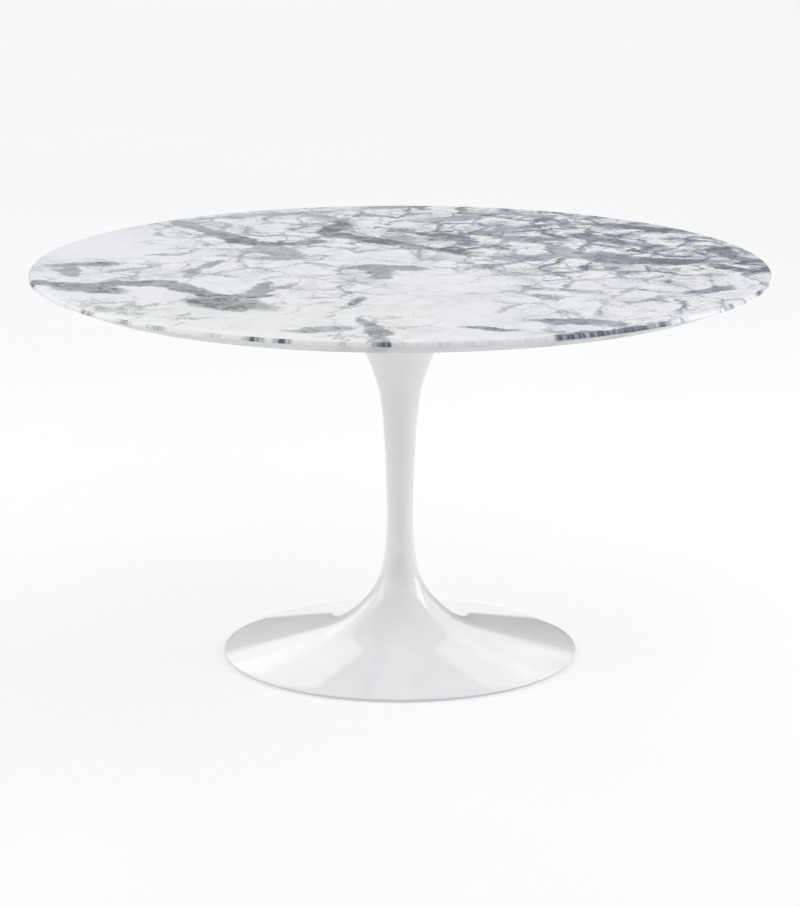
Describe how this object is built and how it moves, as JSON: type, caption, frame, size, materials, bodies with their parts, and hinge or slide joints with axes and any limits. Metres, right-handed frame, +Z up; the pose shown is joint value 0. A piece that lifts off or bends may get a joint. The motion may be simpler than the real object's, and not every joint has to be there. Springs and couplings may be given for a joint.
{
  "type": "round pedestal table",
  "caption": "Round dining table with a stone top on one trumpet-shaped cast pedestal, clamped by a rod through the stem and standing on levelling glides.",
  "frame": {"origin": "on the floor, under the middle of the round top", "axes": "+Z up along the stem's axis, -Y towards the front, +X to the right seen from the front"},
  "size_m": [1.372, 1.372, 0.74],
  "materials": {
    "marble": "satin",
    "white_enamel": "gloss",
    "zinc_steel": "satin",
    "brass": "satin",
    "dark_rubber": "matte",
    "grey_nylon": "matte"
  },
  "bodies": {
    "table": {"marble_top": "marble", "pedestal": "white_enamel", "pedestal_gasket": "dark_rubber", "mounting_plate": "zinc_steel", "rod_lock_nut": "zinc_steel", "tie_rod": "zinc_steel", "base_washer": "zinc_steel", "spring_washer": "zinc_steel", "rod_nut": "zinc_steel", "insert_1": "brass", "insert_2": "brass", "insert_3": "brass", "insert_4": "brass", "insert_5": "brass", "insert_6": "brass", "plate_washer_1": "zinc_steel", "plate_washer_2": "zinc_steel", "plate_washer_3": "zinc_steel", "plate_washer_4": "zinc_steel", "plate_washer_5": "zinc_steel", "plate_washer_6": "zinc_steel", "plate_screw_1": "zinc_steel", "plate_screw_2": "zinc_steel", "plate_screw_3": "zinc_steel", "plate_screw_4": "zinc_steel", "plate_screw_5": "zinc_steel", "plate_screw_6": "zinc_steel"},
    "pad_front_left": {"glide_pad_front_left": "grey_nylon"},
    "pad_front_right": {"glide_pad_front_right": "grey_nylon"},
    "pad_back_left": {"glide_pad_back_left": "grey_nylon"},
    "pad_back_right": {"glide_pad_back_right": "grey_nylon"},
    "stud_front_left": {"glide_stud_front_left": "zinc_steel"},
    "stud_front_right": {"glide_stud_front_right": "zinc_steel"},
    "stud_back_left": {"glide_stud_back_left": "zinc_steel"},
    "stud_back_right": {"glide_stud_back_right": "zinc_steel"}
  },
  "joints": [
    {"name": "level_front_left", "type": "slide", "parent": "table", "child": "pad_front_left", "axis": [0, 0, -1], "range_m": [0, 0.005]},
    {"name": "level_front_right", "type": "slide", "parent": "table", "child": "pad_front_right", "axis": [0, 0, -1], "range_m": [0, 0.005]},
    {"name": "level_back_left", "type": "slide", "parent": "table", "child": "pad_back_left", "axis": [0, 0, -1], "range_m": [0, 0.005]},
    {"name": "level_back_right", "type": "slide", "parent": "table", "child": "pad_back_right", "axis": [0, 0, -1], "range_m": [0, 0.005]},
    {"name": "screw_front_left", "type": "hinge", "parent": "pad_front_left", "child": "stud_front_left", "pos_m": [-0.17678, -0.17678, 0], "axis": [0, 0, -1], "range_deg": [-1, 1441]},
    {"name": "screw_front_right", "type": "hinge", "parent": "pad_front_right", "child": "stud_front_right", "pos_m": [0.17678, -0.17678, 0], "axis": [0, 0, -1], "range_deg": [-1, 1441]},
    {"name": "screw_back_left", "type": "hinge", "parent": "pad_back_left", "child": "stud_back_left", "pos_m": [-0.17678, 0.17678, 0], "axis": [0, 0, -1], "range_deg": [-1, 1441]},
    {"name": "screw_back_right", "type": "hinge", "parent": "pad_back_right", "child": "stud_back_right", "pos_m": [0.17678, 0.17678, 0], "axis": [0, 0, -1], "range_deg": [-1, 1441]}
  ],
  "couplings": [
    {"joint": "screw_front_left", "follows": "level_front_left", "rad_per_m": 5026.5},
    {"joint": "screw_front_right", "follows": "level_front_right", "rad_per_m": 5026.5},
    {"joint": "screw_back_left", "follows": "level_back_left", "rad_per_m": 5026.5},
    {"joint": "screw_back_right", "follows": "level_back_right", "rad_per_m": 5026.5}
  ]
}
